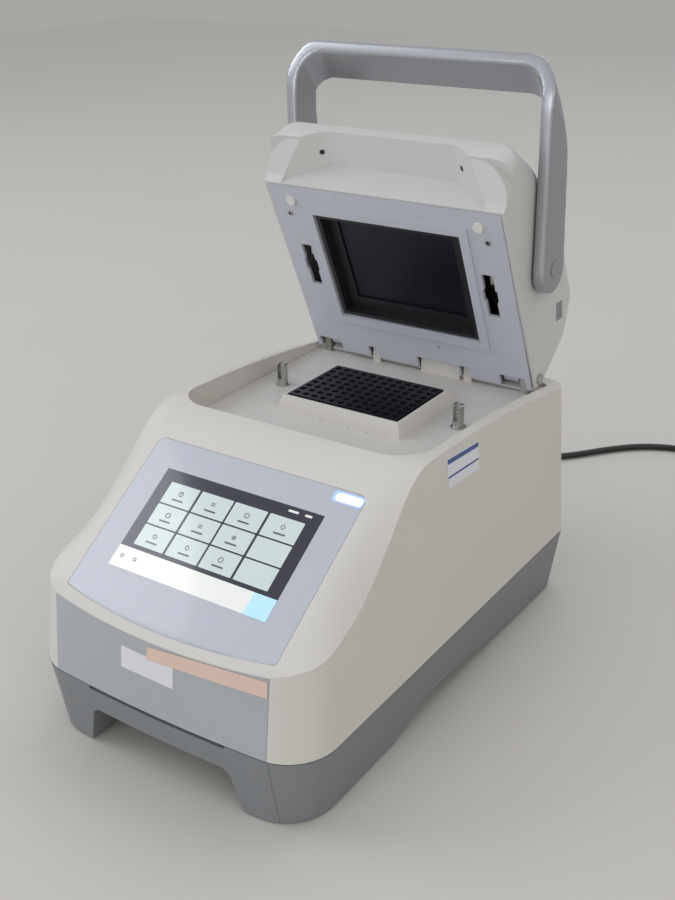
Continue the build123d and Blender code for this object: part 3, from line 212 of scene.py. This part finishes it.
slotMaterial = {
    "housing": housingPlastic, "plinth": plinthPlastic, "panel": panelPlastic, "screen": coverGlass,
    "display": blackPlastic, "light": lightGuide, "deck": deckPlastic, "block": darkAluminium,
    "seal": blackRubber, "bare": bareAluminium, "ceramic": ceramicWhite, "black_plastic": blackPlastic,
    "board": boardGreen, "sheet": zincSheet, "steel": groundSteel, "brass_spring": springSteel,
    "pad": blackRubber, "bumper": whiteAcetal, "lid_plate": lidPaint, "handle": handlePaint,
    "bush": whiteAcetal, "cord": sheathRubber,
}


# CAD pieces with smooth shading

def deselectAll():
    if bpy.context.mode != "OBJECT":
        bpy.ops.object.mode_set(mode="OBJECT")
    bpy.ops.object.select_all(action="DESELECT")


def activate(obj):
    deselectAll()
    obj.select_set(True)
    bpy.context.view_layer.objects.active = obj


def settle(obj, name, material, body):
    obj.name = name
    obj.data.name = name
    obj.data.materials.clear()
    obj.data.materials.append(material)
    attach(obj, body)
    return obj


def dressNode(node, smoothAngle=28.0, material=None):
    source = frame["nodes"][node]
    slotName = [s["material_slot"] for s in frame["record"]["subparts"] if s["node"] == node][0]
    copy = bpy.data.objects.new(node + "_shaded", source.data.copy())
    bpy.context.scene.collection.objects.link(copy)
    activate(copy)
    bpy.ops.mesh.customdata_custom_splitnormals_clear()
    bpy.ops.object.mode_set(mode="EDIT")
    bpy.ops.mesh.select_all(action="SELECT")
    bpy.ops.mesh.remove_doubles(threshold=0.002 * mm)
    bpy.ops.object.mode_set(mode="OBJECT")
    bpy.ops.object.shade_smooth_by_angle(angle=math.radians(smoothAngle))
    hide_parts(node)
    return settle(copy, node + "_shaded", material or slotMaterial[slotName], bodyOf[node])


# the two nodes of the mains lead are drawn further down, as one cord
shaded = {}
for node in frame["nodes"]:
    if node not in ("mains_cord", "cord_coil"):
        shaded[node] = dressNode(node)
shaded["lid_shell"].data.materials[0] = lidPlastic
print("CAD pieces dressed")


# Where the camera of the photograph stood, for the picture and for pieces placed by it
cameraSettings = {
    "place": (0.523006, -0.735117, 0.610125), "turn": (64.60674, 1.23079, 34.30718),
    "focalPixels": 1203.12, "pictureWidth": 675.0, "pictureHeight": 900.0, "sensorHeight": 24.0,
}
cameraPlace = Vector(cameraSettings["place"])
cameraTurn = Euler([math.radians(a) for a in cameraSettings["turn"]])


def seenPoint(obj, pixel):
    # place and outward direction of the surface that the photograph shows at a pixel
    across = (pixel[0] - cameraSettings["pictureWidth"] / 2) / cameraSettings["focalPixels"]
    up = (cameraSettings["pictureHeight"] / 2 - pixel[1]) / cameraSettings["focalPixels"]
    ray = Vector((across, up, -1.0))
    ray.rotate(cameraTurn)
    found, place, normal, face = obj.ray_cast(cameraPlace, ray.normalized())
    if not found:
        raise ValueError(f"no surface of {obj.name} at {pixel}")
    return place, normal


def joinPieces(pieces, name):
    deselectAll()
    for piece in pieces:
        piece.select_set(True)
    bpy.context.view_layer.objects.active = pieces[0]
    bpy.ops.object.join()
    joined = bpy.context.active_object
    joined.name = name
    joined.data.name = name
    return joined


def bakePlace(obj):
    activate(obj)
    bpy.ops.object.transform_apply(location=True, rotation=True, scale=True)


# Handle: soft edges all round, silver front and matt side cheeks
handleSettings = {"voxel": 1.3, "smoothTurns": 14, "smoothFactor": 0.5, "cheekNormal": 0.8}


def softenHandle(s):
    handle = shaded["handle"]
    activate(handle)
    remesh = handle.modifiers.new("soften", "REMESH")
    remesh.mode = "VOXEL"
    remesh.voxel_size = s["voxel"] * mm
    bpy.ops.object.modifier_apply(modifier="soften")
    smooth = handle.modifiers.new("smooth", "SMOOTH")
    smooth.factor = s["smoothFactor"]
    smooth.iterations = s["smoothTurns"]
    bpy.ops.object.modifier_apply(modifier="smooth")
    bpy.ops.object.shade_smooth()
    handle.data.materials.append(cheekPlastic)
    for face in handle.data.polygons:
        outward = abs(face.normal.x) > s["cheekNormal"]
        face.material_index = 1 if outward else 0


softenHandle(handleSettings)
for name in ("handle_cap_left", "handle_cap_right"):
    shaded[name].data.materials[0] = cheekPlastic
print("handle softened")


# Picture on the touch screen, drawn just over the cover glass that it shows through
screenSettings = {
    "width": 150.4, "height": 90.0, "top": -24.45, "proud": 0.12, "thick": 0.06,
    "slope": 33.45, "glassTop": (0.0, -90.497, 206.1),
    "columns": ((0.072, 0.265), (0.28, 0.485), (0.497, 0.70), (0.715, 0.925)),
    "rows": ((0.115, 0.325), (0.34, 0.54), (0.555, 0.76)), "bar": (0.80, 1.0),
    "tileRadius": 0.6, "button": (0.865, 1.0), "barTiles": ((0.015, 0.085), (0.1, 0.17)),
    "clock": ((0.80, 0.86), (0.90, 0.94)), "clockHeight": (0.035, 0.055),
}


def slopeSpot(s, x, v, height):
    # a point on the slope: x to the right, v up from the glass's top edge, height out of it
    tilt = math.radians(s["slope"])
    top = s["glassTop"]
    return Vector((top[0] + x, top[1] + v * math.cos(tilt) - height * math.sin(tilt),
                   top[2] + v * math.sin(tilt) + height * math.cos(tilt))) * mm


def slopePlate(s, x0, x1, v0, v1, layer, radius, material):
    bpy.ops.mesh.primitive_plane_add(size=1)
    plate = bpy.context.active_object
    plate.scale = ((x1 - x0) * mm, (v1 - v0) * mm, 1)
    bpy.ops.object.transform_apply(location=False, rotation=False, scale=True)
    bpy.ops.object.mode_set(mode="EDIT")
    if radius:
        bpy.ops.mesh.bevel(offset=radius * mm, segments=4, affect="VERTICES")
    bpy.ops.mesh.select_all(action="SELECT")
    bpy.ops.mesh.extrude_region_move(TRANSFORM_OT_translate={"value": (0, 0, s["thick"] * mm)})
    bpy.ops.mesh.select_all(action="SELECT")
    bpy.ops.mesh.normals_make_consistent(inside=False)
    bpy.ops.object.mode_set(mode="OBJECT")
    plate.rotation_euler = (math.radians(s["slope"]), 0, 0)
    plate.location = slopeSpot(s, (x0 + x1) / 2, (v0 + v1) / 2, s["proud"] * layer)
    bakePlace(plate)
    plate.data.materials.append(material)
    return plate


def screenField(s, across, down, layer, radius, material):
    x0, x1 = [s["width"] * (u - 0.5) for u in across]
    v1, v0 = [s["top"] - s["height"] * w for w in down]
    return slopePlate(s, x0, x1, v0, v1, layer, radius, material)


def icon(s, kind, u, w, size):
    # plain generic signs: a ring, lines of a list, a box, a drop or a cross
    x = s["width"] * (u - 0.5)
    v = s["top"] - s["height"] * w
    middle = slopeSpot(s, x, v, s["proud"] * 3)
    tilt = (math.radians(s["slope"]), 0, 0)
    marks = []
    if kind in ("ring", "box", "dial"):
        corners = 4 if kind == "box" else 20
        bpy.ops.mesh.primitive_torus_add(
            major_segments=corners, minor_segments=6, location=middle, rotation=tilt,
            major_radius=size * mm, minor_radius=0.28 * mm)
        marks.append(bpy.context.active_object)
    if kind == "dial":
        marks.append(slopePlate(s, x - 0.3, x + 0.3, v - 0.2, v + size, 3, 0, screenInk))
    if kind == "list":
        for k in (-1, 0, 1):
            line = v + k * 1.1
            marks.append(slopePlate(s, x - size, x + size, line - 0.22, line + 0.22, 3, 0, screenInk))
    if kind == "cross":
        for side in (-1, 1):
            level = v + side * 0.6
            upright = x + side * 0.6
            marks.append(slopePlate(s, x - size, x + size, level - 0.2, level + 0.2, 3, 0, screenInk))
            marks.append(slopePlate(s, upright - 0.2, upright + 0.2, v - size, v + size, 3, 0, screenInk))
    for mark in marks:
        bakePlace(mark)
        if not mark.data.materials:
            mark.data.materials.append(screenInk)
    return marks


def drawScreen(s):
    back = screenField(s, (0, 1), (0, 1), 0.4, 0.4, screenDark)
    settle(back, "screen_background", screenDark, "base")
    kinds = (("dial", "list", "ring", "box"), ("ring", "list", "cross", None), ("box", "box", "ring", None))
    tiles, marks = [], []
    for row, rowKinds in enumerate(kinds):
        for column, kind in enumerate(rowKinds):
            tiles.append(screenField(s, s["columns"][column], s["rows"][row], 1.4, s["tileRadius"], screenTile))
            if not kind:
                continue
            u = sum(s["columns"][column]) / 2
            top, low = s["rows"][row]
            marks += icon(s, kind, u, top + 0.42 * (low - top), 2.0)
            marks.append(screenField(s, (u - 0.035, u + 0.035), (low - 0.062, low - 0.048), 3, 0, screenInk))
    settle(joinPieces(tiles, "screen_tiles"), "screen_tiles", screenTile, "base")
    bar = screenField(s, (0.0, s["button"][0]), s["bar"], 1.4, 0, screenBar)
    settle(bar, "screen_bar", screenBar, "base")
    button = screenField(s, s["button"], s["bar"], 1.4, 0.3, screenBlue)
    settle(button, "screen_button", screenBlue, "base")
    for across in s["barTiles"]:
        marks += icon(s, "ring", sum(across) / 2, 0.89, 1.3)
    settle(joinPieces(marks, "screen_marks"), "screen_marks", screenInk, "base")
    clock = [screenField(s, across, s["clockHeight"], 1.4, 0, screenBar) for across in s["clock"]]
    settle(joinPieces(clock, "screen_clock"), "screen_clock", screenBar, "base")


drawScreen(screenSettings)
print("screen drawn")


# Status light: a milky window with a bright core, lit from behind
statusSettings = {"x": (72.5, 99.2), "v": (-11.0, -1.6), "core": (75.5, 98.0), "coreV": (-9.6, -3.4), "radius": 2.6}


def drawStatusLight(s):
    halo = slopePlate(screenSettings, *s["x"], *s["v"], 0.4, s["radius"], statusBlue)
    settle(halo, "status_light_halo", statusBlue, "base")
    core = slopePlate(screenSettings, *s["core"], *s["coreV"], 1.4, s["radius"], statusWhite)
    settle(core, "status_light_core", statusWhite, "base")


drawStatusLight(statusSettings)
print("status light drawn")


# Stickers follow the surface they are on and carry no words
stickerSettings = [
    {"name": "blank_label_white", "on": "front_panel", "material": labelPaper, "lift": 0.12, "slot": "panel",
     "corners": ((121.2, 645.0), (173.0, 668.5), (172.7, 689.3), (121.2, 666.1))},
    {"name": "blank_label_peach", "on": "front_panel", "material": labelPeach, "lift": 0.28, "slot": "panel",
     "corners": ((147.0, 646.5), (267.5, 682.5), (267.2, 699.0), (146.2, 659.5))},
    {"name": "blank_sticker_side", "on": "upper_housing", "material": labelPaper, "lift": 0.12, "slot": "housing",
     "corners": ((447.0, 459.3), (478.6, 440.3), (478.6, 468.4), (448.4, 489.4))},
    {"name": "sticker_band_top", "on": "upper_housing", "material": labelBlue, "lift": 0.22, "slot": "housing",
     "corners": ((447.4, 460.4), (478.2, 441.8), (478.2, 446.3), (447.6, 465.2))},
    {"name": "sticker_band_low", "on": "upper_housing", "material": labelBlue, "lift": 0.22, "slot": "housing",
     "corners": ((448.4, 477.2), (478.2, 457.6), (478.2, 459.4), (448.4, 479.2))},
    {"name": "blank_sticker_lid", "on": "lid_shell", "material": printGrey, "lift": 0.12, "slot": "housing",
     "corners": ((556.2, 303.5), (562.0, 300.0), (562.0, 317.0), (556.2, 321.5))},
]


def layLabel(s):
    under = shaded[s["on"]]
    corners = [Vector(pixel) for pixel in s["corners"]]
    bpy.ops.mesh.primitive_grid_add(x_subdivisions=20, y_subdivisions=8, size=1)
    label = bpy.context.active_object
    for vertex in label.data.vertices:
        u = vertex.co.x + 0.5
        w = 0.5 - vertex.co.y
        top = corners[0].lerp(corners[1], u)
        low = corners[3].lerp(corners[2], u)
        place, normal = seenPoint(under, top.lerp(low, w))
        vertex.co = place + normal * s["lift"] * mm
    wall = label.modifiers.new("wall", "SOLIDIFY")
    wall.thickness = 0.08 * mm
    wall.offset = 0
    bpy.ops.object.modifier_apply(modifier="wall")
    bpy.ops.object.shade_smooth_by_angle(angle=math.radians(40))
    settle(label, s["name"], s["material"], bodyOf[s["on"]])


for sticker in stickerSettings:
    layLabel(sticker)
print("labels laid")


# Small fittings of the lid, placed where the photograph shows them
fittingSettings = {
    "screws": ((290.4, 212.6), (488.2, 242.7)), "screwRadius": 2.7, "screwHeight": 0.9, "socketRadius": 1.35,
    "screwSunk": 0.1, "screwEdge": 0.35, "socketHeight": 0.1, "socketSunk": 0.12,
    "bores": ((322.2, 152.0), (461.9, 168.4)), "boreRadius": 2.3, "rimOut": 0.35, "rimThick": 0.4,
    "pinHole": (439.0, 347.0), "pinHoleRadius": 0.8,
}


def discOn(obj, pixel, radius, height, lift, material, bevel=0.0):
    place, normal = seenPoint(obj, pixel)
    bpy.ops.mesh.primitive_cylinder_add(vertices=32, radius=radius * mm, depth=height * mm)
    disc = bpy.context.active_object
    disc.rotation_euler = normal.to_track_quat("Z", "Y").to_euler()
    disc.location = place + normal * (lift + height / 2) * mm
    bakePlace(disc)
    if bevel:
        edge = disc.modifiers.new("edge", "BEVEL")
        edge.width = bevel * mm
        edge.segments = 3
        bpy.ops.object.modifier_apply(modifier="edge")
    bpy.ops.object.shade_smooth_by_angle(angle=math.radians(35))
    disc.data.materials.append(material)
    return disc


def fitLid(s):
    plate, shell = shaded["lid_plate"], shaded["lid_shell"]
    heads, holeShades, rims, bores = [], [], [], []
    for pixel in s["screws"]:
        heads.append(discOn(
            plate, pixel, s["screwRadius"], s["screwHeight"], -s["screwSunk"], groundSteel, s["screwEdge"]))
        # a dark disc on each screw head is painted shade in its socket
        holeShades.append(discOn(
            plate, pixel, s["socketRadius"], s["socketHeight"], s["screwHeight"] - s["socketSunk"], holeShadePaint))
    # a dark disc on the plate is painted shade in the pin hole
    holeShades.append(discOn(plate, s["pinHole"], s["pinHoleRadius"], 0.08, 0.0, holeShadePaint))
    for pixel in s["bores"]:
        place, normal = seenPoint(shell, pixel)
        bpy.ops.mesh.primitive_torus_add(
            major_segments=32, minor_segments=10, major_radius=(s["boreRadius"] + s["rimOut"]) * mm,
            minor_radius=s["rimThick"] * mm, location=place, rotation=normal.to_track_quat("Z", "Y").to_euler())
        rim = bpy.context.active_object
        bakePlace(rim)
        bpy.ops.object.shade_smooth()
        rims.append(rim)
        # a dark disc inside the rim is painted shade in the bore
        bores.append(discOn(shell, pixel, s["boreRadius"], 0.1, 0.02, holeShadePaint))
    settle(joinPieces(heads, "lid_screws"), "lid_screws", groundSteel, "lid")
    settle(joinPieces(holeShades, "socket_and_pin_hole_shade"), "socket_and_pin_hole_shade", holeShadePaint, "lid")
    settle(joinPieces(rims, "bore_rims"), "bore_rims", lidPlastic, "lid")
    settle(joinPieces(bores, "bores"), "bores", holeShadePaint, "lid")


fitLid(fittingSettings)
print("lid fittings placed")


# Column numbers printed on the deck in front of the block
numberSettings = {"pitch": 9.0, "count": 12, "size": 3.0, "y": 10.4, "z": 201.05, "thick": 0.05}


def printNumbers(s):
    numbers = []
    for k in range(s["count"]):
        bpy.ops.object.text_add(location=((k - (s["count"] - 1) / 2) * s["pitch"] * mm, s["y"] * mm, s["z"] * mm))
        number = bpy.context.active_object
        number.data.body = str(k + 1)
        number.data.size = s["size"] * mm
        number.data.align_x = "CENTER"
        number.data.extrude = s["thick"] / 2 * mm
        bpy.ops.object.convert(target="MESH")
        bakePlace(bpy.context.active_object)
        numbers.append(bpy.context.active_object)
    settle(joinPieces(numbers, "column_numbers"), "column_numbers", printGrey, "base")


printNumbers(numberSettings)
print("numbers printed")


# Mains lead: it leaves the inlet, lies on the bench and ends in a put-away coil
cordSettings = {
    "radius": 3.4, "coilX": 212.0, "coilY": 559.303, "coilRadius": 37.0, "low": 4.0, "pitch": 7.0,
    "turnsWide": 2, "turnsHigh": 3, "pointsPerTurn": 16, "inletX": -50.0, "inletZ": 100.0,
    "runLength": 0.42,
}
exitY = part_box("cord_relief")[1].y
routePoints = [
    (-50.0, 299.3, 100.0), (-46.0, 343.3, 52.0), (-34.0, 384.3, 9.0), (-10.0, 413.3, 4.0),
    (24.0, 434.3, 4.0), (61.0, 482.3, 4.0), (92.0, 511.3, 4.0), (134.0, 527.3, 4.0), (170.0, 518.8, 4.0),
]


def coilPoints(s):
    # turns climb the outer layer and come down the inner one
    points = []
    turns = s["turnsWide"] * s["turnsHigh"]
    for k in range(turns * s["pointsPerTurn"] + 1):
        turn = k / s["pointsPerTurn"]
        layer = min(int(turn // s["turnsHigh"]), s["turnsWide"] - 1)
        climb = min(turn - layer * s["turnsHigh"], s["turnsHigh"] - 1)
        if layer == 1:
            climb = s["turnsHigh"] - 1 - climb
        radius = s["coilRadius"] + s["pitch"] * (0.5 - layer)
        angle = math.radians(-90) + 2 * math.pi * turn
        points.append((s["coilX"] + radius * math.cos(angle), s["coilY"] + radius * math.sin(angle),
                       s["low"] + climb * s["pitch"]))
    return points


def layCord(s):
    points = [(s["inletX"], exitY / mm, s["inletZ"])] + routePoints + coilPoints(s)
    curve = bpy.data.curves.new("mains_lead", "CURVE")
    curve.dimensions = "3D"
    spline = curve.splines.new("NURBS")
    spline.points.add(len(points) - 1)
    for place, point in zip(spline.points, points):
        place.co = (point[0] * mm, point[1] * mm, point[2] * mm, 1.0)
    spline.order_u = 3
    spline.use_endpoint_u = True
    spline.resolution_u = 6
    curve.bevel_depth = s["radius"] * mm
    curve.bevel_resolution = 4
    curve.use_fill_caps = True
    lead = bpy.data.objects.new("mains_lead", curve)
    bpy.context.scene.collection.objects.link(lead)
    curve.materials.append(sheathRubber)
    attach(lead, "base")
    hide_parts("mains_cord", "cord_coil")


layCord(cordSettings)
print("mains lead laid")


# Stage, lights and camera
stageSettings = {
    "floorSize": 8.0, "floorColour": "c9c6bf", "worldColour": "e9ebee", "worldStrength": 0.7,
    "backColour": "a7a6a3",
}
lampSettings = [
    {"name": "windowLamp", "place": (-2.3, -0.9, 1.8), "size": 1.8, "power": 23.0, "colour": "f6f8ff"},
    {"name": "fillLamp", "place": (2.4, -1.4, 1.7), "size": 2.2, "power": 13.0, "colour": "fff6ea"},
    {"name": "frontLamp", "place": (-0.4, -2.8, 0.9), "size": 1.6, "power": 14.0, "colour": "f8faff"},
    {"name": "topLamp", "place": (0.2, 1.6, 3.0), "size": 2.4, "power": 18.0, "colour": "ffffff"},
]


def makeStage(s):
    bpy.ops.mesh.primitive_plane_add(size=s["floorSize"], location=(0, 0, 0))
    floor = bpy.context.active_object
    floor.name = "floor"
    material = newMaterial("laminate_pale")  # laminate bench top, matt and faintly mottled
    place = addNode(material, "ShaderNodeTexCoord", {}, {})
    mottle = addNode(material, "ShaderNodeTexNoise", {}, {
        "Vector": place.outputs["Object"], "Scale": 1 / (220 * mm), "Detail": 2.0})
    deep = [c * 0.97 for c in linearColour(s["floorColour"])[:3]] + [1.0]
    colour = addNode(material, "ShaderNodeMix", {"data_type": "RGBA"}, {
        0: mottle.outputs["Fac"], 6: deep, 7: linearColour(s["floorColour"])})
    shader = addNode(material, "ShaderNodeBsdfPrincipled", {}, {"Base Color": colour.outputs[2], "Roughness": 0.6})
    finishMaterial(material, shader)
    floor.data.materials.append(material)


def makeWorld(s):
    # the camera sees a wall as pale as the bench; the object is lit by the studio's own grey
    world = bpy.data.worlds.new("studio")
    bpy.context.scene.world = world
    world.use_nodes = True
    tree = world.node_tree
    light = tree.nodes["Background"]
    light.inputs["Color"].default_value = linearColour(s["worldColour"])
    light.inputs["Strength"].default_value = s["worldStrength"]
    wall = tree.nodes.new("ShaderNodeBackground")
    wall.inputs["Color"].default_value = linearColour(s["backColour"])
    path = tree.nodes.new("ShaderNodeLightPath")
    mix = tree.nodes.new("ShaderNodeMixShader")
    tree.links.new(path.outputs["Is Camera Ray"], mix.inputs[0])
    tree.links.new(light.outputs[0], mix.inputs[1])
    tree.links.new(wall.outputs[0], mix.inputs[2])
    tree.links.new(mix.outputs[0], tree.nodes["World Output"].inputs["Surface"])


def makeLamp(s):
    data = bpy.data.lights.new(s["name"], "AREA")
    data.shape = "DISK"
    data.size = s["size"]
    data.energy = s["power"]
    data.color = linearColour(s["colour"])[:3]
    lamp = bpy.data.objects.new(s["name"], data)
    bpy.context.scene.collection.objects.link(lamp)
    lamp.location = s["place"]
    aim = Vector((0, 0, 0.2)) - lamp.location
    lamp.rotation_euler = aim.to_track_quat("-Z", "Y").to_euler()


def makeCamera(s):
    data = bpy.data.cameras.new("camera")
    data.sensor_fit = "VERTICAL"
    data.sensor_height = s["sensorHeight"]
    data.lens = s["focalPixels"] * s["sensorHeight"] / s["pictureHeight"]
    data.clip_start = 0.05
    data.clip_end = 30
    camera = bpy.data.objects.new("camera", data)
    bpy.context.scene.collection.objects.link(camera)
    camera.location = cameraPlace
    camera.rotation_euler = cameraTurn
    bpy.context.scene.camera = camera


makeStage(stageSettings)
makeWorld(stageSettings)
for lampData in lampSettings:
    makeLamp(lampData)
makeCamera(cameraSettings)
bpy.context.scene.view_settings.view_transform = "Standard"
print("stage, lights and camera placed")
